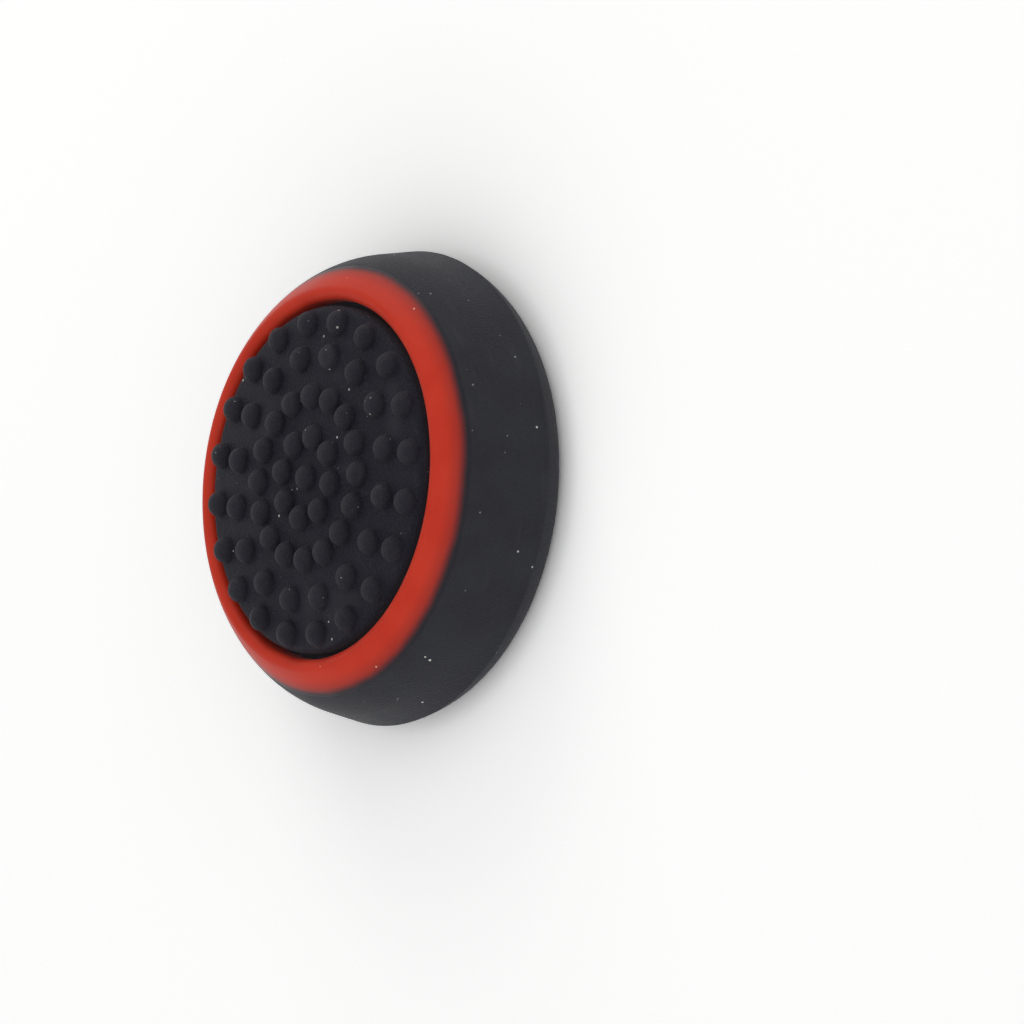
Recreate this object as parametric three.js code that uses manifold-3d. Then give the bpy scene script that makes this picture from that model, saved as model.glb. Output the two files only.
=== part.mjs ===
// Slip-on silicone grip for the head of a controller's thumb stick.
// Millimetres, +Z up. The grip stands on its rim, and the origin is the centre of the rim.
// Both pieces are bodies of revolution about Z. The nubs on the disc are the only other form.

import * as THREE from "three";
import { mergeVertices } from "three/addons/utils/BufferGeometryUtils.js";
import Module from "manifold-3d";

const wasm = await Module();
wasm.setup();

// Outside wall, from the parting line up
const partingRadius = 12.5; // the widest circle, where the two halves of the mould meet
const partingHeight = 1.75; // above the rim
const wallTaper = THREE.MathUtils.degToRad(10); // the wall leans in as it rises
const wallLength = 2.0; // straight stretch, measured along the wall
const shoulderRadius = 5.55; // the big rounding between the wall and the top

// Lip, from the parting line down and in to the opening
const openingRadius = 8.0;
const lipThickness = 1.2;
const lipUndercut = 1.6; // how far inside the parting line the flat rim begins
const lipTuck = 0.6; // how far the lip leans in straight below the parting line
const lipUnderRounding = 0.55; // at the rim's inner edge
const lipTopRounding = 0.3; // inside the hollow

// Hollow for the stick's head
const hollowRadius = 9.6;
const hollowRounding = 0.5;
const webThickness = 0.8; // between the hollow's ceiling and the floor of the moat

// Coloured ring, let into the shoulder
const ringInset = 1.22; // from the parting radius in to the ring's outer edge
const ringWidth = 1.92; // at the foot of its inner wall
const ringEdgeHeight = 0.1; // thickness at its feathered outer edge
const ringDraft = THREE.MathUtils.degToRad(4); // the inner wall leans out as it rises
const crestRounding = 0.45; // the ring's highest edge, beside the moat

// Centre disc, raised behind a narrow moat
const moatWidth = 0.26; // at its floor
const moatDepth = 1.1; // below the ring's crest
const discRise = 0.05; // the disc's edge above the ring's crest
const discCrown = 0.45; // the disc's middle above its edge
const discEdgeRounding = 0.4;

// Nubs: full domes, between a ball and a button
const nubRadius = 0.7;
const nubHeight = 0.65;
const nubFullness = 2.5; // exponent of the dome's superellipse, where 2 is a plain ellipse
const nubRoot = 0.35; // reach into the disc
const nubPitch = 2.13; // between the inner circles of nubs
const nubEdgeInset = 0.9; // from the disc's side in to the outermost circle of nubs
const nubCounts = [8, 16, 16]; // on the inner circles, from the middle out
const outerNubCount = 20;
const staggeredCircle = 2; // this circle is turned by half of its spacing, the others line up on +X

// Facets
const turns = 64; // round the axis
const nubSides = 10;

// Places that follow from the sizes above
const wallTop = new THREE.Vector2(
  partingRadius - wallLength * Math.sin(wallTaper),
  partingHeight + wallLength * Math.cos(wallTaper),
);
const shoulderCentre = new THREE.Vector2(
  wallTop.x - shoulderRadius * Math.cos(wallTaper),
  wallTop.y - shoulderRadius * Math.sin(wallTaper),
);
const ringOuterRadius = partingRadius - ringInset;
const ringInnerRadius = ringOuterRadius - ringWidth;
const ringEdgeAngle = Math.acos((ringOuterRadius - shoulderCentre.x) / shoulderRadius);
const crestReach = shoulderRadius - crestRounding;
const crestLean = (moatDepth - crestRounding) * Math.sin(ringDraft);
const crestRadius = ringInnerRadius + (crestRounding + crestLean) / Math.cos(ringDraft);
const crestAngle = Math.acos((crestRadius - shoulderCentre.x) / crestReach);
const crestCentre = new THREE.Vector2(crestRadius, shoulderCentre.y + crestReach * Math.sin(crestAngle));
const crestHeight = crestCentre.y + crestRounding;
const seatHeight = shoulderCentre.y + shoulderRadius * Math.sin(ringEdgeAngle) - ringEdgeHeight;
const moatFloor = crestHeight - moatDepth;
const hollowCeiling = moatFloor - webThickness;
const discRadius = ringInnerRadius - moatWidth;

// The disc's top is part of a sphere that its rounded edge runs into
const discEdgeHeight = crestHeight + discRise;
const discFlatRadius = discRadius - discEdgeRounding;
const crownRadius = (discFlatRadius ** 2 + discCrown ** 2) / (2 * discCrown);
const crownCentre = discEdgeHeight + discCrown - crownRadius;
const crownTilt = Math.asin(discFlatRadius / crownRadius);

/** Points of an arc in the section plane, from one angle to another, turning either way. */
function arc(centre, radius, from, to, steps) {
  const curve = new THREE.EllipseCurve(centre.x, centre.y, radius, radius, from, to, to < from);
  return curve.getPoints(steps);
}

/** Height of the disc's surface at a distance from the axis. */
function discSurface(distance) {
  return crownCentre + Math.sqrt(crownRadius ** 2 - distance ** 2);
}

/** A body of revolution about Z from its section, which starts and ends on the axis or closes on itself. */
function revolve(section, sides) {
  const geometry = new THREE.LatheGeometry(section, sides);
  geometry.rotateX(Math.PI / 2);
  return geometry;
}

/** The same surface as one closed solid, with shared corners merged and the axis's empty faces dropped. */
function solid(geometry) {
  geometry.deleteAttribute("normal");
  geometry.deleteAttribute("uv");
  const merged = mergeVertices(geometry);
  const corners = merged.index.array;
  const faces = [];
  for (let i = 0; i < corners.length; i += 3) {
    const [a, b, c] = corners.slice(i, i + 3);
    if (a !== b && b !== c && c !== a) {
      faces.push(a, b, c);
    }
  }
  return new wasm.Manifold(new wasm.Mesh({
    numProp: 3,
    vertProperties: merged.attributes.position.array,
    triVerts: new Uint32Array(faces),
  }));
}

/** A named mesh from a solid. */
function piece(name, shape, material) {
  const { vertProperties, triVerts } = shape.getMesh();
  const geometry = new THREE.BufferGeometry();
  geometry.setAttribute("position", new THREE.BufferAttribute(vertProperties, 3));
  geometry.setIndex(new THREE.BufferAttribute(triVerts, 1));
  geometry.computeVertexNormals();
  const mesh = new THREE.Mesh(geometry, material);
  mesh.name = name;
  return mesh;
}

/** The seat that the ring is let into: its inner wall, its floor and its outer wall. */
function seatSection() {
  return [
    new THREE.Vector2(ringInnerRadius, seatHeight),
    new THREE.Vector2(ringOuterRadius, seatHeight),
  ];
}

/** Top of the body: crowned disc, rounded edge, moat. */
function discSection() {
  const crown = arc(new THREE.Vector2(0, crownCentre), crownRadius, Math.PI / 2, Math.PI / 2 - crownTilt, 4);
  crown[0].x = 0;
  const edgeCentre = new THREE.Vector2(discFlatRadius, discEdgeHeight - discEdgeRounding);
  return [
    ...crown.slice(0, -1),
    ...arc(edgeCentre, discEdgeRounding, Math.PI / 2 - crownTilt, 0, 3),
    new THREE.Vector2(discRadius, moatFloor),
    new THREE.Vector2(ringInnerRadius, moatFloor),
  ];
}

/** Outside of the body: shoulder, tapered wall, lip and flat rim. */
function wallSection() {
  const parting = new THREE.Vector2(partingRadius, partingHeight);
  const lip = new THREE.QuadraticBezierCurve(
    parting,
    new THREE.Vector2(partingRadius - lipTuck, 0),
    new THREE.Vector2(partingRadius - lipUndercut, 0),
  );
  return [
    ...arc(shoulderCentre, shoulderRadius, ringEdgeAngle, wallTaper, 4),
    ...lip.getPoints(4),
  ];
}

/** Inside of the body: the lip's inner edge, the hollow's wall and its ceiling. */
function hollowSection() {
  const underCentre = new THREE.Vector2(openingRadius + lipUnderRounding, lipUnderRounding);
  const topCentre = new THREE.Vector2(openingRadius + lipTopRounding, lipThickness - lipTopRounding);
  const cornerRadius = hollowRadius - hollowRounding;
  const floorCorner = new THREE.Vector2(cornerRadius, lipThickness + hollowRounding);
  const ceilingCorner = new THREE.Vector2(cornerRadius, hollowCeiling - hollowRounding);
  return [
    ...arc(underCentre, lipUnderRounding, 1.5 * Math.PI, Math.PI, 2),
    ...arc(topCentre, lipTopRounding, Math.PI, Math.PI / 2, 2),
    ...arc(floorCorner, hollowRounding, -Math.PI / 2, 0, 2),
    ...arc(ceilingCorner, hollowRounding, 0, Math.PI / 2, 2),
    new THREE.Vector2(0, hollowCeiling),
  ];
}

/** Outline of a nub's dome, from its foot up to just below its top. */
function domeSection(steps) {
  const points = [];
  for (let i = 0; i < steps; i += 1) {
    const angle = (i / steps) * (Math.PI / 2);
    const across = nubRadius * Math.cos(angle) ** (2 / nubFullness);
    points.push(new THREE.Vector2(across, nubHeight * Math.sin(angle) ** (2 / nubFullness)));
  }
  return points;
}

/** One nub, standing on the disc's surface at a distance and direction from the axis. */
function nub(distance, direction) {
  const section = [
    new THREE.Vector2(0, -nubRoot),
    new THREE.Vector2(nubRadius, -nubRoot),
    ...domeSection(3),
    new THREE.Vector2(0, nubHeight),
  ];
  const geometry = revolve(section, nubSides);
  geometry.translate(
    distance * Math.cos(direction),
    distance * Math.sin(direction),
    discSurface(distance),
  );
  return solid(geometry);
}

/** All nubs: one in the middle, then circle by circle to the disc's edge. */
function nubs() {
  const circles = nubCounts.map((count, i) => ({ count, distance: (i + 1) * nubPitch }));
  circles.push({ count: outerNubCount, distance: discRadius - nubEdgeInset });
  const all = [nub(0, 0)];
  circles.forEach(({ count, distance }, i) => {
    const spacing = (2 * Math.PI) / count;
    const start = i + 1 === staggeredCircle ? spacing / 2 : 0;
    for (let k = 0; k < count; k += 1) {
      all.push(nub(distance, start + k * spacing));
    }
  });
  return all;
}

/** The black moulding: wall, lip, hollow, disc and nubs in one. */
function gripBody() {
  const section = [...discSection(), ...seatSection(), ...wallSection(), ...hollowSection()];
  let body = solid(revolve(section.reverse(), turns));
  for (const one of nubs()) {
    body = body.add(one);
  }
  return body;
}

/** The coloured ring: it fills its seat, carries on the shoulder's rounding and has a rounded crest. */
function colourRing() {
  const section = [
    ...seatSection(),
    ...arc(shoulderCentre, shoulderRadius, ringEdgeAngle, crestAngle, 4),
    ...arc(crestCentre, crestRounding, crestAngle, Math.PI - ringDraft, 4).slice(1),
    new THREE.Vector2(ringInnerRadius, moatFloor),
    seatSection()[0],
  ];
  return solid(revolve(section, turns));
}

const blackSilicone = new THREE.MeshStandardMaterial({ color: 0x28292d, roughness: 0.75, metalness: 0 });
const redSilicone = new THREE.MeshStandardMaterial({ color: 0xbe3a2d, roughness: 0.6, metalness: 0 });

const grip = new THREE.Group();
grip.add(piece("grip_body", gripBody(), blackSilicone));
grip.add(piece("colour_ring", colourRing(), redSilicone));

export default grip;
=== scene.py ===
"""Slip-on silicone grip for a controller's thumb stick: fine surfaces, materials, light and camera.

The grip stands on its rim, +Z towards the nubs. Lengths are metres, written as millimetres times MM.
"""

import math
from collections import namedtuple

import bmesh
import bpy
from mathutils import Matrix, Vector
from mathutils.geometry import delaunay_2d_cdt


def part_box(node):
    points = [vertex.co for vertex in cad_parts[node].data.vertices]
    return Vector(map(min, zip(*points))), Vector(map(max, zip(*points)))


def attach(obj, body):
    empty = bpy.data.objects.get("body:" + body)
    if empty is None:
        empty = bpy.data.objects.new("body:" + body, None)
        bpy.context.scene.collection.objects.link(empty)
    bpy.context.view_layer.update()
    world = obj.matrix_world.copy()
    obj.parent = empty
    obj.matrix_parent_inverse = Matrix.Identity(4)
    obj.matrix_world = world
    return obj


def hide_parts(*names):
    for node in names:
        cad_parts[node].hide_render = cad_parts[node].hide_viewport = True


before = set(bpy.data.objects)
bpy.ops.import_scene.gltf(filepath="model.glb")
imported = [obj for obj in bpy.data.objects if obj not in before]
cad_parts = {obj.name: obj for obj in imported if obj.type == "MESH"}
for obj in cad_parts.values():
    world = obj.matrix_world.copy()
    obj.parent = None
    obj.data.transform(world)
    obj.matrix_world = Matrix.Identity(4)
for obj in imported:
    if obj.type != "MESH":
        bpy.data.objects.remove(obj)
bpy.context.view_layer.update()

MM = 0.001

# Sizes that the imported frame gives
BODY_LOW, BODY_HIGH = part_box("grip_body")
RING_LOW, RING_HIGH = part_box("colour_ring")
PARTING_RADIUS = BODY_HIGH.x
RING_OUTER_RADIUS = RING_HIGH.x
SEAT_HEIGHT = RING_LOW.z

# Outside wall
PARTING_HEIGHT = 1.75 * MM
WALL_TAPER = math.radians(10)
WALL_LENGTH = 2.0 * MM
SHOULDER_RADIUS = 5.55 * MM
CREASE_DEPTH = 0.05 * MM  # the fine line that the mould's joint leaves under the widest circle
CREASE_WIDTH = 0.09 * MM

# Lip and hollow
OPENING_RADIUS = 8.0 * MM
LIP_THICKNESS = 1.2 * MM
LIP_UNDERCUT = 1.6 * MM
LIP_TUCK = 0.6 * MM
LIP_UNDER_ROUNDING = 0.55 * MM
LIP_TOP_ROUNDING = 0.3 * MM
HOLLOW_RADIUS = 9.6 * MM
HOLLOW_ROUNDING = 0.5 * MM
WEB_THICKNESS = 0.8 * MM

# Ring, moat and disc
RING_WIDTH = 1.92 * MM  # at the foot of its inner wall
RING_DRAFT = math.radians(4)
CREST_ROUNDING = 0.45 * MM
MOAT_WIDTH = 0.26 * MM
MOAT_DEPTH = 1.1 * MM
MOAT_ROUNDING = 0.08 * MM
DISC_RISE = 0.05 * MM  # the disc's edge above the ring's crest
DISC_CROWN = 0.45 * MM
DISC_EDGE_ROUNDING = 0.4 * MM
DISC_TOP_TILT = math.radians(60)  # the disc's skin ends where its rounded edge is this steep

# Nubs
NUB_RADIUS = 0.7 * MM
NUB_HEIGHT = 0.65 * MM
NUB_FULLNESS = 2.25  # exponent of the dome's superellipse
NUB_FILLET = 0.1 * MM  # where the nub runs into the disc
NUB_PITCH = 2.13 * MM
NUB_EDGE_INSET = 0.9 * MM
NUB_COUNTS = [8, 16, 16]
OUTER_NUB_COUNT = 20
STAGGERED_CIRCLE = 2

# Fineness of the meshes
TURNS = 288  # faces round the axis
NUB_SIDES = 32
DISC_GRAIN = 0.24 * MM  # spacing of the disc's points between the nubs
LEAST_GAP = DISC_GRAIN / 3  # between these points and the circles that bound them
LEAST_COUNT = 6  # of points on one of their circles
DISC_EDGE_STEPS = 5
SHOULDER_STEPS = 28
WALL_STEPS = 5
LIP_STEPS = 24
RING_STEPS = 20
DOME_STEPS = 14
DOME_START = 1.2 * NUB_FILLET  # height at which a nub's dome takes over from its fillet
LEVEL_FROM = NUB_HEIGHT / 3  # height from which a nub no longer follows the disc's slope
SKIN_TOLERANCE = 1e-9
SHARP_ANGLE = math.radians(40)

# Places that follow from the sizes above
RING_INNER_RADIUS = RING_OUTER_RADIUS - RING_WIDTH
WALL_TOP = Vector((
    PARTING_RADIUS - WALL_LENGTH * math.sin(WALL_TAPER),
    PARTING_HEIGHT + WALL_LENGTH * math.cos(WALL_TAPER),
))
SHOULDER_CENTRE = WALL_TOP - SHOULDER_RADIUS * Vector((math.cos(WALL_TAPER), math.sin(WALL_TAPER)))
RING_EDGE_ANGLE = math.acos((RING_OUTER_RADIUS - SHOULDER_CENTRE.x) / SHOULDER_RADIUS)
CREST_REACH = SHOULDER_RADIUS - CREST_ROUNDING
CREST_LEAN = (MOAT_DEPTH - CREST_ROUNDING) * math.sin(RING_DRAFT)
CREST_RADIUS = RING_INNER_RADIUS + (CREST_ROUNDING + CREST_LEAN) / math.cos(RING_DRAFT)
CREST_ANGLE = math.acos((CREST_RADIUS - SHOULDER_CENTRE.x) / CREST_REACH)
CREST_CENTRE = SHOULDER_CENTRE + CREST_REACH * Vector((math.cos(CREST_ANGLE), math.sin(CREST_ANGLE)))
CREST_HEIGHT = CREST_CENTRE.y + CREST_ROUNDING
MOAT_FLOOR = CREST_HEIGHT - MOAT_DEPTH
HOLLOW_CEILING = MOAT_FLOOR - WEB_THICKNESS
DISC_RADIUS = RING_INNER_RADIUS - MOAT_WIDTH
DISC_FLAT_RADIUS = DISC_RADIUS - DISC_EDGE_ROUNDING
DISC_EDGE_HEIGHT = CREST_HEIGHT + DISC_RISE
CROWN_RADIUS = (DISC_FLAT_RADIUS ** 2 + DISC_CROWN ** 2) / (2 * DISC_CROWN)
CROWN_CENTRE = DISC_EDGE_HEIGHT + DISC_CROWN - CROWN_RADIUS
DISC_EDGE_CENTRE = Vector((DISC_FLAT_RADIUS, DISC_EDGE_HEIGHT - DISC_EDGE_ROUNDING))
DISC_TOP_RADIUS = DISC_FLAT_RADIUS + DISC_EDGE_ROUNDING * math.sin(DISC_TOP_TILT)

# Camera: where the picture shows the grip, on a frame of 1024 by 1024 pixels
FRAME_PIXELS = 1024
FOCAL_PIXELS = 9000
SENSOR_WIDTH = 36
CAMERA_AZIMUTH = math.radians(4.56)
CAMERA_ELEVATION = math.radians(37.02)
CAMERA_DISTANCE = 472.0 * MM
AXIS_PIXEL = Vector((399.1, 488.2))  # the axis, at the height of the widest circle
AXIS_TURN = math.radians(173.47)  # direction of +Z in the picture, from its right edge anticlockwise


# Shapes

def arc(centre, radius, start, end, steps):
    """Points of an arc in the section plane, which holds distance from the axis and height."""
    angles = [start + (end - start) * i / steps for i in range(steps + 1)]
    return [centre + radius * Vector((math.cos(a), math.sin(a))) for a in angles]


def straight(start, end, steps):
    """Points between two points of the section, without the two."""
    return [start.lerp(end, i / steps) for i in range(1, steps)]


def disc_surface(distance):
    """Height of the disc at a distance from the axis: crown first, then the rounded edge."""
    if distance <= DISC_FLAT_RADIUS:
        return CROWN_CENTRE + math.sqrt(CROWN_RADIUS ** 2 - distance ** 2)
    reach = distance - DISC_EDGE_CENTRE.x
    return DISC_EDGE_CENTRE.y + math.sqrt(DISC_EDGE_ROUNDING ** 2 - reach ** 2)


def nub_places():
    """Centres of the nubs: one in the middle, then circle by circle to the disc's edge."""
    circles = [(count, (i + 1) * NUB_PITCH) for i, count in enumerate(NUB_COUNTS)]
    circles.append((OUTER_NUB_COUNT, DISC_RADIUS - NUB_EDGE_INSET))
    places = [Vector((0, 0))]
    for number, (count, distance) in enumerate(circles, start=1):
        spacing = math.tau / count
        start = spacing / 2 if number == STAGGERED_CIRCLE else 0
        for k in range(count):
            angle = start + k * spacing
            places.append(distance * Vector((math.cos(angle), math.sin(angle))))
    return places


def moat_section():
    """From the disc's rounded edge down its side and across the moat to the ring's inner wall."""
    inner = Vector((DISC_RADIUS + MOAT_ROUNDING, MOAT_FLOOR + MOAT_ROUNDING))
    return [
        *arc(DISC_EDGE_CENTRE, DISC_EDGE_ROUNDING, math.pi / 2 - DISC_TOP_TILT, 0, 6),
        *arc(inner, MOAT_ROUNDING, math.pi, 1.5 * math.pi, 4),
        Vector((RING_INNER_RADIUS, MOAT_FLOOR)),
    ]


def seat_section():
    """The step that the ring is let into."""
    return [Vector((RING_INNER_RADIUS, SEAT_HEIGHT)), Vector((RING_OUTER_RADIUS, SEAT_HEIGHT))]


def lip_section():
    """From the crease under the widest circle round the lip to the flat rim."""
    start = Vector((PARTING_RADIUS, PARTING_HEIGHT))
    bend = Vector((PARTING_RADIUS - LIP_TUCK, 0))
    end = Vector((PARTING_RADIUS - LIP_UNDERCUT, 0))
    curve = []
    for i in range(LIP_STEPS + 1):
        t = i / LIP_STEPS
        curve.append(start * (1 - t) ** 2 + bend * 2 * t * (1 - t) + end * t ** 2)
    crease = Vector((PARTING_RADIUS - CREASE_DEPTH, PARTING_HEIGHT - CREASE_WIDTH / 2))
    return [start, crease, *[p for p in curve if p.y < PARTING_HEIGHT - CREASE_WIDTH]]


def hollow_section():
    """From the rim's inner edge round the lip, up the hollow's wall and across its ceiling."""
    under = Vector((OPENING_RADIUS + LIP_UNDER_ROUNDING, LIP_UNDER_ROUNDING))
    top = Vector((OPENING_RADIUS + LIP_TOP_ROUNDING, LIP_THICKNESS - LIP_TOP_ROUNDING))
    corner = HOLLOW_RADIUS - HOLLOW_ROUNDING
    low = Vector((corner, LIP_THICKNESS + HOLLOW_ROUNDING))
    high = Vector((corner, HOLLOW_CEILING - HOLLOW_ROUNDING))
    return [
        *arc(under, LIP_UNDER_ROUNDING, -math.pi / 2, -math.pi, 10),
        *arc(top, LIP_TOP_ROUNDING, math.pi, math.pi / 2, 6),
        *arc(low, HOLLOW_ROUNDING, -math.pi / 2, 0, 8),
        *arc(high, HOLLOW_ROUNDING, 0, math.pi / 2, 8),
    ]


def body_section():
    """The body's outline from the disc's edge down to the hollow's ceiling."""
    shoulder = arc(SHOULDER_CENTRE, SHOULDER_RADIUS, RING_EDGE_ANGLE, WALL_TAPER, SHOULDER_STEPS)
    wall = straight(shoulder[-1], Vector((PARTING_RADIUS, PARTING_HEIGHT)), WALL_STEPS)
    return [*moat_section(), *seat_section(), *shoulder, *wall, *lip_section(), *hollow_section()]


def ring_section():
    """The coloured ring, closed: seat, outer edge, shoulder rounding, crest and inner wall."""
    return [
        *seat_section(),
        *arc(SHOULDER_CENTRE, SHOULDER_RADIUS, RING_EDGE_ANGLE, CREST_ANGLE, RING_STEPS),
        *arc(CREST_CENTRE, CREST_ROUNDING, CREST_ANGLE, math.pi - RING_DRAFT, RING_STEPS)[1:],
        Vector((RING_INNER_RADIUS, MOAT_FLOOR)),
    ]


def turn(bm, section, closed):
    """Adds the section's surface of revolution and returns its first and last circle of corners."""
    circles = []
    for point in section:
        circle = []
        for k in range(TURNS):
            angle = math.tau * k / TURNS
            circle.append(bm.verts.new((point.x * math.cos(angle), point.x * math.sin(angle), point.y)))
        circles.append(circle)
    pairs = list(zip(circles, circles[1:]))
    if closed:
        pairs.append((circles[-1], circles[0]))
    for upper, lower in pairs:
        for k in range(TURNS):
            after = (k + 1) % TURNS
            bm.faces.new((upper[k], lower[k], lower[after], upper[after]))
    return circles[0], circles[-1]


def disc_points(feet):
    """Points of the disc's surface between its edge and the nubs' feet, in circles round the axis."""
    clear = NUB_RADIUS + NUB_FILLET + LEAST_GAP
    circles = math.floor((DISC_FLAT_RADIUS - LEAST_GAP) / DISC_GRAIN)
    distances = [i * DISC_GRAIN for i in range(1, circles + 1)]
    for i in range(DISC_EDGE_STEPS):
        distances.append(DISC_FLAT_RADIUS + (DISC_TOP_RADIUS - DISC_FLAT_RADIUS) * i / DISC_EDGE_STEPS)
    points = []
    for distance in distances:
        count = max(LEAST_COUNT, round(math.tau * distance / DISC_GRAIN))
        for k in range(count):
            point = distance * Vector((math.cos(math.tau * k / count), math.sin(math.tau * k / count)))
            if all((point - foot).length > clear for foot in feet):
                points.append(point)
    return points


def nub_profile():
    """Distance from the nub's axis and height over the disc, from the foot to just below the top."""
    fillet_centre = Vector((NUB_RADIUS + NUB_FILLET, NUB_FILLET))
    fillet = arc(fillet_centre, NUB_FILLET, -math.pi / 2, -math.pi, 4)
    dome = []
    for i in range(DOME_STEPS):
        angle = math.pi / 2 * i / DOME_STEPS
        across = NUB_RADIUS * math.cos(angle) ** (2 / NUB_FULLNESS)
        dome.append(Vector((across, NUB_HEIGHT * math.sin(angle) ** (2 / NUB_FULLNESS))))
    return [*fillet, *[point for point in dome if point.y > DOME_START]]


def add_nub(bm, foot, corners):
    """Raises a nub from the circle of corners at its foot."""
    profile = nub_profile()
    base = disc_surface(foot.length)
    below = corners
    for distance, height in profile[1:]:
        upright = min(1, height / LEVEL_FROM)
        circle = []
        for k in range(NUB_SIDES):
            angle = math.tau * k / NUB_SIDES
            place = foot + distance * Vector((math.cos(angle), math.sin(angle)))
            floor = disc_surface(place.length) * (1 - upright) + base * upright
            circle.append(bm.verts.new((place.x, place.y, floor + height)))
        for k in range(NUB_SIDES):
            after = (k + 1) % NUB_SIDES
            bm.faces.new((below[k], below[after], circle[after], circle[k]))
        below = circle
    top = bm.verts.new((foot.x, foot.y, base + NUB_HEIGHT))
    for k in range(NUB_SIDES):
        bm.faces.new((below[k], below[(k + 1) % NUB_SIDES], top))


def add_disc(bm, edge):
    """The disc's top inside its edge circle: a skin with a round hole at each nub's foot, and the nubs."""
    feet = nub_places()
    foot_radius = NUB_RADIUS + NUB_FILLET
    points = [Vector(corner.co.xy) for corner in edge]
    bounds = [(k, (k + 1) % TURNS) for k in range(TURNS)]
    for foot in feet:
        first = len(points)
        for k in range(NUB_SIDES):
            angle = math.tau * k / NUB_SIDES
            points.append(foot + foot_radius * Vector((math.cos(angle), math.sin(angle))))
        bounds.extend((first + k, first + (k + 1) % NUB_SIDES) for k in range(NUB_SIDES))
    points.extend(disc_points(feet))
    flat, _, triangles, origins, _, _ = delaunay_2d_cdt(points, bounds, [], 0, SKIN_TOLERANCE)
    corners = [None] * len(flat)
    for index, sources in enumerate(origins):
        if sources and sources[0] < TURNS:
            corners[index] = edge[sources[0]]
        else:
            corners[index] = bm.verts.new((flat[index].x, flat[index].y, disc_surface(flat[index].length)))
    for triangle in triangles:
        middle = sum((flat[i] for i in triangle), Vector((0, 0))) / 3
        if all((middle - foot).length > foot_radius * math.cos(math.pi / NUB_SIDES) for foot in feet):
            bm.faces.new([corners[i] for i in triangle])
    place_of = {sources[0]: corners[index] for index, sources in enumerate(origins) if sources}
    for number, foot in enumerate(feet):
        first = TURNS + number * NUB_SIDES
        add_nub(bm, foot, [place_of[first + k] for k in range(NUB_SIDES)])


def finish_mesh(bm, name, material):
    """Turns the faces outwards, smooths all but the sharp edges and makes the object."""
    bmesh.ops.recalc_face_normals(bm, faces=bm.faces)
    for face in bm.faces:
        face.smooth = True
    for edge in bm.edges:
        edge.smooth = edge.calc_face_angle(0) < SHARP_ANGLE
    mesh = bpy.data.meshes.new(name)
    bm.to_mesh(mesh)
    bm.free()
    mesh.materials.append(material)
    piece = bpy.data.objects.new(name, mesh)
    bpy.context.scene.collection.objects.link(piece)
    return piece


def grip_body(material):
    """The black moulding, with the nubs in one skin with the disc."""
    bm = bmesh.new()
    top, ceiling = turn(bm, body_section(), closed=False)
    add_disc(bm, top)
    bm.faces.new(ceiling)
    return finish_mesh(bm, "grip_body_skin", material)


def colour_ring(material):
    """The coloured ring in its seat."""
    bm = bmesh.new()
    turn(bm, ring_section(), closed=True)
    return finish_mesh(bm, "colour_ring_skin", material)


# Materials: colours from 0 to 255, sizes and places in millimetres

Dust = namedtuple("Dust", "stretch spacing size share cover tone")

SILICONE_IOR = 1.43
CLOUDS = (0.3, 0.7)  # stretch of the cloud noise over which a tone or roughness goes from low to high

DISC_TONES = ((23, 23, 34), (30, 30, 40))  # dark and light clouds
NUB_TONES = ((32, 32, 40), (39, 39, 47))
# Painted reflection: the wall's tones are lighter than the disc's so that the wall shows the sheen of its
# bright surroundings
WALL_PAINTED_REFLECTION_TONES = ((42, 42, 48), (48, 49, 55))
GRAIN_TONE = (58, 58, 64)
MOTTLE_TONE = (58, 58, 62)
RUB_TONE = (62, 62, 68)
# Painted light: a lighter tone deep in the moat, which lifts the moat's shade
MOAT_PAINTED_LIGHT_TONE = (58, 58, 64)
BLACK_ROUGHNESS = (0.52, 0.60)
BLACK_DUST = [
    Dust(stretch=(1, 1, 1), spacing=0.8, size=0.085, share=0.22, cover=0.9, tone=(232, 230, 226)),
    Dust(stretch=(1, 1, 1), spacing=0.42, size=0.045, share=0.12, cover=0.7, tone=(190, 188, 186)),
    Dust(stretch=(0.3, 1, 1), spacing=1.3, size=0.07, share=0.12, cover=0.7, tone=(215, 213, 208)),
]

RED_TONES = ((196, 52, 34), (202, 58, 39))
UNDER_RED_TONE = (40, 40, 46)
RED_ROUGHNESS = (0.40, 0.48)
RED_WANDER = 0.02  # how far the red's outer edge strays from its circle
RED_DUST = [Dust(stretch=(1, 1, 1), spacing=0.8, size=0.07, share=0.2, cover=0.8, tone=(236, 196, 184))]


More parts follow.
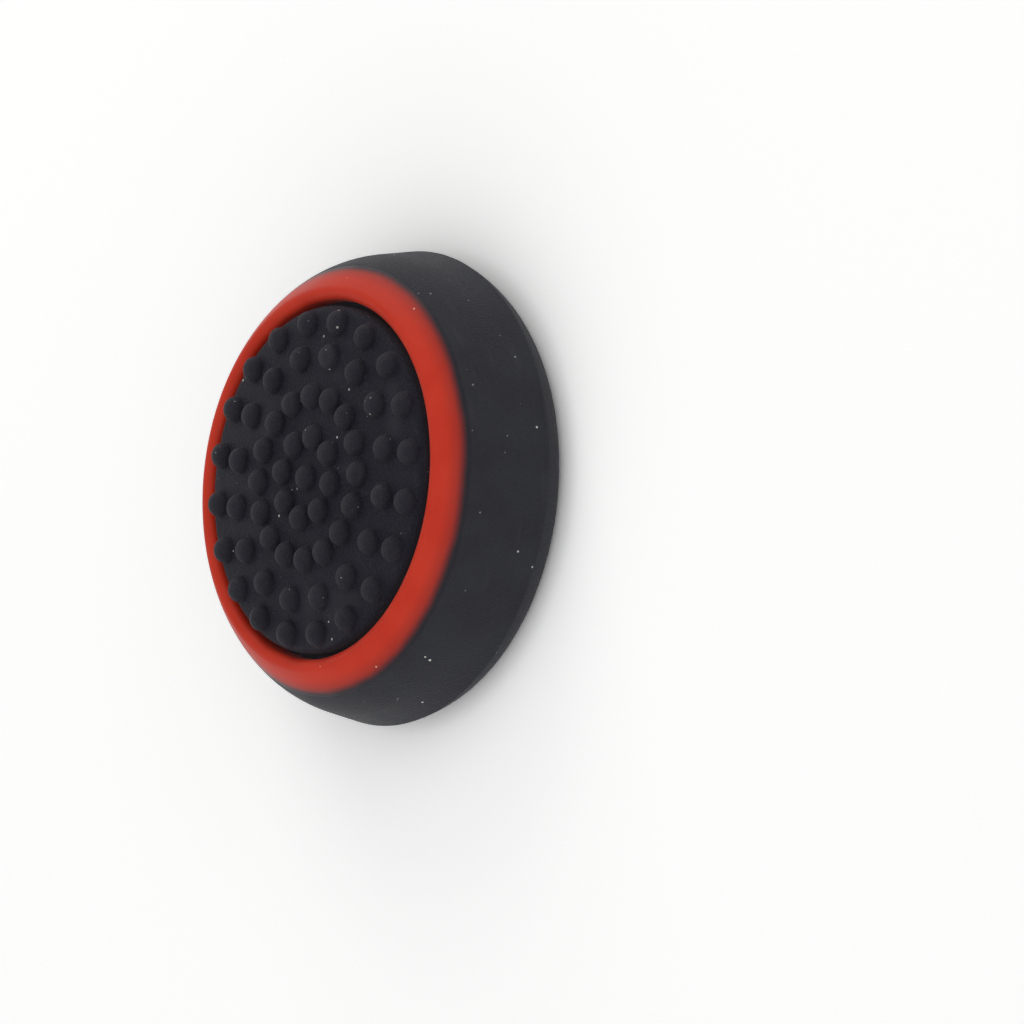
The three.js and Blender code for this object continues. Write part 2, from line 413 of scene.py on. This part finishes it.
class Nodes:
    """The node tree of a material or the world, with short calls for the nodes used here."""

    def __init__(self, owner, output="ShaderNodeOutputMaterial"):
        self.owner = owner
        owner.use_nodes = True
        self.tree = owner.node_tree
        self.tree.nodes.clear()
        self.output = self.add(output)

    def add(self, kind, **settings):
        node = self.tree.nodes.new(kind)
        for key, value in settings.items():
            setattr(node, key, value)
        return node

    def link(self, source, target):
        self.tree.links.new(source, target)

    def fill(self, socket, value):
        """Links a socket or sets a plain value."""
        if isinstance(value, bpy.types.NodeSocket):
            self.link(value, socket)
        else:
            socket.default_value = value

    def surface(self, shader):
        """Ends the tree with a shader."""
        self.link(shader.outputs[0], self.output.inputs["Surface"])

    def math(self, operation, first, second=0.0):
        node = self.add("ShaderNodeMath", operation=operation)
        self.fill(node.inputs[0], first)
        self.fill(node.inputs[1], second)
        return node.outputs[0]

    def times(self, first, second):
        return self.math("MULTIPLY", first, second)

    def ramp(self, value, low, high, to_low=0.0, to_high=1.0):
        """Smooth step of a value from one range to another."""
        node = self.add("ShaderNodeMapRange", interpolation_type="SMOOTHSTEP", clamp=True)
        for socket, number in zip(node.inputs, (value, low, high, to_low, to_high)):
            self.fill(socket, number)
        return node.outputs[0]

    def mix(self, factor, first, second):
        """Mixes two colours."""
        node = self.add("ShaderNodeMix", data_type="RGBA")
        self.fill(node.inputs["Factor"], factor)
        self.fill(node.inputs[6], first)
        self.fill(node.inputs[7], second)
        return node.outputs[2]

    def places(self, stretch=(1, 1, 1)):
        """The frame's coordinates in millimetres, stretched along the axes."""
        coordinates = self.add("ShaderNodeTexCoord")
        mapping = self.add("ShaderNodeMapping")
        mapping.inputs["Scale"].default_value = [factor / MM for factor in stretch]
        self.link(coordinates.outputs["Object"], mapping.inputs["Vector"])
        return mapping.outputs["Vector"]

    def radius_and_height(self):
        """Distance from the part's axis and height over the rim, in millimetres."""
        split = self.add("ShaderNodeSeparateXYZ")
        self.link(self.places(), split.inputs[0])
        squares = [self.times(split.outputs[i], split.outputs[i]) for i in (0, 1)]
        return self.math("SQRT", self.math("ADD", *squares)), split.outputs[2]

    def noise(self, places, size, detail, roughness=0.5):
        """Noise with features of a size in millimetres, about 0.5 on average."""
        node = self.add("ShaderNodeTexNoise")
        self.link(places, node.inputs["Vector"])
        node.inputs["Scale"].default_value = 1 / size
        node.inputs["Detail"].default_value = detail
        node.inputs["Roughness"].default_value = roughness
        return node.outputs["Fac"]

    def dust(self, colour, kind):
        """Lays small round dots of one kind over a colour, at random places and of random strength."""
        cells = self.add("ShaderNodeTexVoronoi", feature="F1")
        self.link(self.places(kind.stretch), cells.inputs["Vector"])
        cells.inputs["Scale"].default_value = 1 / kind.spacing
        reach = kind.size / kind.spacing
        dot = self.ramp(cells.outputs["Distance"], reach, reach * 0.5)
        cell = self.add("ShaderNodeSeparateColor")
        self.link(cells.outputs["Color"], cell.inputs[0])
        chosen = self.math("LESS_THAN", cell.outputs[0], kind.share)
        strength = self.ramp(cell.outputs[1], 0.0, 1.0, 0.25, 1.0)
        dots = self.times(self.times(dot, chosen), strength)
        return self.mix(self.times(dots, kind.cover), colour, srgb(kind.tone))

    def bump(self, height, distance, strength, below=None):
        node = self.add("ShaderNodeBump")
        node.inputs["Strength"].default_value = strength
        node.inputs["Distance"].default_value = distance
        self.link(height, node.inputs["Height"])
        if below:
            self.link(below, node.inputs["Normal"])
        return node.outputs["Normal"]

    def seen_rays(self):
        """1 for the rays that show the surroundings to the camera: straight, mirrored or through glass."""
        path = self.add("ShaderNodeLightPath")
        seen = self.math("MAXIMUM", path.outputs["Is Camera Ray"], path.outputs["Is Glossy Ray"])
        return self.math("MAXIMUM", seen, path.outputs["Is Transmission Ray"])


def srgb(tone):
    """A linear colour from a tone's three values of 0 to 255."""
    linear = []
    for value in tone:
        share = value / 255
        linear.append(share / 12.92 if share <= 0.04045 else ((share + 0.055) / 1.055) ** 2.4)
    return (*linear, 1.0)


def set_gloss(shader, specular, sheen, sheen_roughness):
    """Gloss and sheen that are the same all over the surface."""
    shader.inputs["IOR"].default_value = SILICONE_IOR
    shader.inputs["Specular IOR Level"].default_value = specular
    shader.inputs["Sheen Weight"].default_value = sheen
    shader.inputs["Sheen Roughness"].default_value = sheen_roughness


def nub_mask(nodes, radius, height):
    """1 on the nubs: on all that stands above the disc's crown."""
    drop = nodes.math("SUBTRACT", (CROWN_RADIUS / MM) ** 2, nodes.times(radius, radius))
    crown = nodes.math("ADD", nodes.math("SQRT", drop), CROWN_CENTRE / MM)
    return nodes.ramp(nodes.math("SUBTRACT", height, crown), 0.03, 0.2)


def painted_moat_light_mask(nodes, radius, height):
    """1 deep in the moat, where light is painted over its shade."""
    disc, ring, crest = DISC_RADIUS / MM, RING_INNER_RADIUS / MM, CREST_HEIGHT / MM
    between = nodes.times(nodes.ramp(radius, disc - 0.2, disc), nodes.ramp(radius, ring + 0.24, ring + 0.04))
    return nodes.times(between, nodes.ramp(height, crest - 0.1, crest - 0.5))


def black_silicone():
    """Matte black silicone with a fine moulded grain, faint rub marks along the wall and dust; a painted
    reflection lightens the outer wall and painted light lifts the moat's shade.
    """
    nodes = Nodes(bpy.data.materials.new("black_silicone_look"))
    shader = nodes.add("ShaderNodeBsdfPrincipled")
    places = nodes.places()
    grain = nodes.noise(places, 0.10, detail=2.0, roughness=0.6)
    cloud = nodes.noise(places, 3.0, detail=2.0)
    mottle = nodes.noise(places, 0.35, detail=3.0, roughness=0.7)
    rubs = nodes.noise(nodes.places((0.25, 0.25, 1.6)), 1.0, detail=1.0)

    radius, height = nodes.radius_and_height()
    outer = RING_OUTER_RADIUS / MM
    # Painted reflection: beyond the ring's outer edge the wall takes the lighter wall tones
    on_wall_painted_reflection = nodes.ramp(radius, outer - 0.12, outer + 0.1)
    on_nub = nub_mask(nodes, radius, height)
    dark, light = [
        nodes.mix(on_wall_painted_reflection, nodes.mix(on_nub, srgb(disc), srgb(nub)), srgb(wall))
        for disc, nub, wall in zip(DISC_TONES, NUB_TONES, WALL_PAINTED_REFLECTION_TONES)
    ]
    colour = nodes.mix(nodes.ramp(cloud, *CLOUDS), dark, light)
    colour = nodes.mix(nodes.ramp(grain, 0.5, 0.8, 0.0, 0.5), colour, srgb(GRAIN_TONE))
    colour = nodes.mix(nodes.ramp(mottle, 0.55, 0.75, 0.0, 0.3), colour, srgb(MOTTLE_TONE))
    colour = nodes.mix(nodes.ramp(rubs, 0.62, 0.75, 0.0, 0.25), colour, srgb(RUB_TONE))
    # Painted light: a lighter tone deep in the moat lifts its shade
    colour = nodes.mix(nodes.times(painted_moat_light_mask(nodes, radius, height), 0.8), colour, srgb(MOAT_PAINTED_LIGHT_TONE))
    for kind in BLACK_DUST:
        colour = nodes.dust(colour, kind)

    nodes.link(colour, shader.inputs["Base Color"])
    nodes.link(nodes.ramp(cloud, *CLOUDS, *BLACK_ROUGHNESS), shader.inputs["Roughness"])
    set_gloss(shader, specular=0.11, sheen=0.05, sheen_roughness=0.5)
    waves = nodes.noise(places, 1.4, detail=1.0)
    normal = nodes.bump(waves, 0.02 * MM, 0.4, below=nodes.bump(grain, 0.07 * MM, 0.9))
    nodes.link(normal, shader.inputs["Normal"])
    nodes.surface(shader)
    return nodes.owner


def red_silicone():
    """Red silicone, a second shot so thin at its outer edge that the black under it shows through."""
    nodes = Nodes(bpy.data.materials.new("red_silicone_look"))
    shader = nodes.add("ShaderNodeBsdfPrincipled")
    places = nodes.places()
    grain = nodes.noise(places, 0.14, detail=2.0)
    cloud = nodes.noise(places, 2.2, detail=2.0)

    radius, _ = nodes.radius_and_height()
    edge = nodes.math("ADD", radius, nodes.ramp(cloud, *CLOUDS, -RED_WANDER, RED_WANDER))
    outer = RING_OUTER_RADIUS / MM
    colour = nodes.mix(nodes.ramp(cloud, *CLOUDS), *[srgb(tone) for tone in RED_TONES])
    colour = nodes.mix(nodes.ramp(edge, outer - 0.83, outer - 0.08, 0.0, 0.45), colour, srgb(UNDER_RED_TONE))
    colour = nodes.mix(nodes.ramp(edge, outer - 0.38, outer - 0.02), colour, srgb(UNDER_RED_TONE))
    for kind in RED_DUST:
        colour = nodes.dust(colour, kind)

    nodes.link(colour, shader.inputs["Base Color"])
    nodes.link(nodes.ramp(cloud, *CLOUDS, *RED_ROUGHNESS), shader.inputs["Roughness"])
    set_gloss(shader, specular=0.13, sheen=0.06, sheen_roughness=0.3)
    shader.inputs["Subsurface Weight"].default_value = 0.15
    shader.inputs["Subsurface Radius"].default_value = (1.0, 0.2, 0.1)
    shader.inputs["Subsurface Scale"].default_value = 0.4 * MM
    nodes.link(nodes.bump(grain, 0.012 * MM, 0.4), shader.inputs["Normal"])
    nodes.surface(shader)
    return nodes.owner


def floor_material():
    """Pale matte floor that shows white where it is lit, and keeps the shadow."""
    nodes = Nodes(bpy.data.materials.new("floor_look"))
    shader = nodes.add("ShaderNodeBsdfDiffuse")
    colour = nodes.mix(nodes.seen_rays(), (*FLOOR_COLOUR, 1.0), (*FLOOR_SEEN, 1.0))
    nodes.link(colour, shader.inputs["Color"])
    nodes.surface(shader)
    return nodes.owner


# Stage

FLOOR_SIZE = 3.0
FLOOR_COLOUR = (0.86, 0.86, 0.86)
FLOOR_SEEN = (1.27, 1.27, 1.27)  # what the camera and reflections see, so that a lit floor shows white
AMBIENT = 0.544  # average strength of the surroundings' light
SKY_SIDE = (-0.3, -0.85, 0.5)  # direction of the brightest part of the surroundings
SKY_SLOPE = 1.0  # how much brighter they are there, as a share of the average
SKY_SEEN = 1.0
KEY_SIDE = (-0.35, 0.90, -0.05)  # direction of the lamp in the picture: right, up, towards the viewer
KEY_DISTANCE = 0.5
KEY_SIZE = 0.3
KEY_POWER = 0.5
KEY_COLOUR = (1.0, 0.96, 0.91)


def make_floor():
    """A plain floor at the height of the rim."""
    half = FLOOR_SIZE / 2
    mesh = bpy.data.meshes.new("floor")
    corners = [(-half, -half, 0), (half, -half, 0), (half, half, 0), (-half, half, 0)]
    mesh.from_pydata(corners, [], [(0, 1, 2, 3)])
    mesh.materials.append(floor_material())
    floor = bpy.data.objects.new("floor", mesh)
    bpy.context.scene.collection.objects.link(floor)


def make_world():
    """Pale surroundings, brighter towards one side, and white where they are seen."""
    world = bpy.data.worlds.new("surroundings")
    bpy.context.scene.world = world
    nodes = Nodes(world, "ShaderNodeOutputWorld")
    background = nodes.add("ShaderNodeBackground")
    background.inputs["Color"].default_value = (1, 1, 1, 1)
    direction = nodes.add("ShaderNodeTexCoord").outputs["Generated"]
    along = nodes.add("ShaderNodeVectorMath", operation="DOT_PRODUCT")
    nodes.link(direction, along.inputs[0])
    along.inputs[1].default_value = Vector(SKY_SIDE).normalized() * SKY_SLOPE * AMBIENT
    strength = nodes.add("ShaderNodeMix", data_type="FLOAT")
    nodes.link(nodes.seen_rays(), strength.inputs["Factor"])
    nodes.link(nodes.math("ADD", along.outputs["Value"], AMBIENT), strength.inputs[2])
    strength.inputs[3].default_value = SKY_SEEN
    nodes.link(strength.outputs[0], background.inputs["Strength"])
    nodes.surface(background)


def sight_frame(sight, side):
    """Rotation whose first column is the line of sight and whose second leans towards a side."""
    across = (side - sight * side.dot(sight)).normalized()
    return Matrix((sight, across, sight.cross(across))).transposed()


def make_camera():
    """Camera at the picture's viewing angle, rolled so that +Z points left in the picture."""
    towards = Vector((
        math.sin(CAMERA_AZIMUTH) * math.cos(CAMERA_ELEVATION),
        -math.cos(CAMERA_AZIMUTH) * math.cos(CAMERA_ELEVATION),
        math.sin(CAMERA_ELEVATION),
    ))
    offset = (AXIS_PIXEL - Vector((FRAME_PIXELS / 2, FRAME_PIXELS / 2))) / FOCAL_PIXELS
    seen_sight = Vector((offset.x, -offset.y, -1)).normalized()
    seen_axis = Vector((math.cos(AXIS_TURN), math.sin(AXIS_TURN), 0))
    in_world = sight_frame(-towards, Vector((0, 0, 1)))
    turn_to_world = in_world @ sight_frame(seen_sight, seen_axis).transposed()

    data = bpy.data.cameras.new("camera")
    data.sensor_width = SENSOR_WIDTH
    data.lens = FOCAL_PIXELS / FRAME_PIXELS * SENSOR_WIDTH
    data.clip_start = CAMERA_DISTANCE / 10
    data.clip_end = CAMERA_DISTANCE * 10
    camera = bpy.data.objects.new("camera", data)
    place = Vector((0, 0, PARTING_HEIGHT)) + CAMERA_DISTANCE * towards
    camera.matrix_world = Matrix.LocRotScale(place, turn_to_world.to_quaternion(), None)
    bpy.context.scene.collection.objects.link(camera)
    bpy.context.scene.camera = camera
    return camera


def make_key(camera):
    """A soft square lamp over the picture's top left. The surroundings give the rest of the light."""
    direction = (camera.matrix_world.to_3x3() @ Vector(KEY_SIDE)).normalized()
    data = bpy.data.lights.new("key", "AREA")
    data.size = KEY_SIZE
    data.energy = KEY_POWER
    data.color = KEY_COLOUR
    lamp = bpy.data.objects.new("key", data)
    lamp.location = direction * KEY_DISTANCE
    lamp.rotation_mode = "QUATERNION"
    lamp.rotation_quaternion = direction.to_track_quat("Z", "Y")
    bpy.context.scene.collection.objects.link(lamp)


def main():
    body = grip_body(black_silicone())
    ring = colour_ring(red_silicone())
    for piece, node, slot in ((body, "grip_body", "black_silicone"), (ring, "colour_ring", "red_silicone")):
        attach(piece, "root")
        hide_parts(node)
    make_floor()
    make_world()
    make_key(make_camera())
    bpy.context.scene.view_settings.view_transform = "Standard"


main()
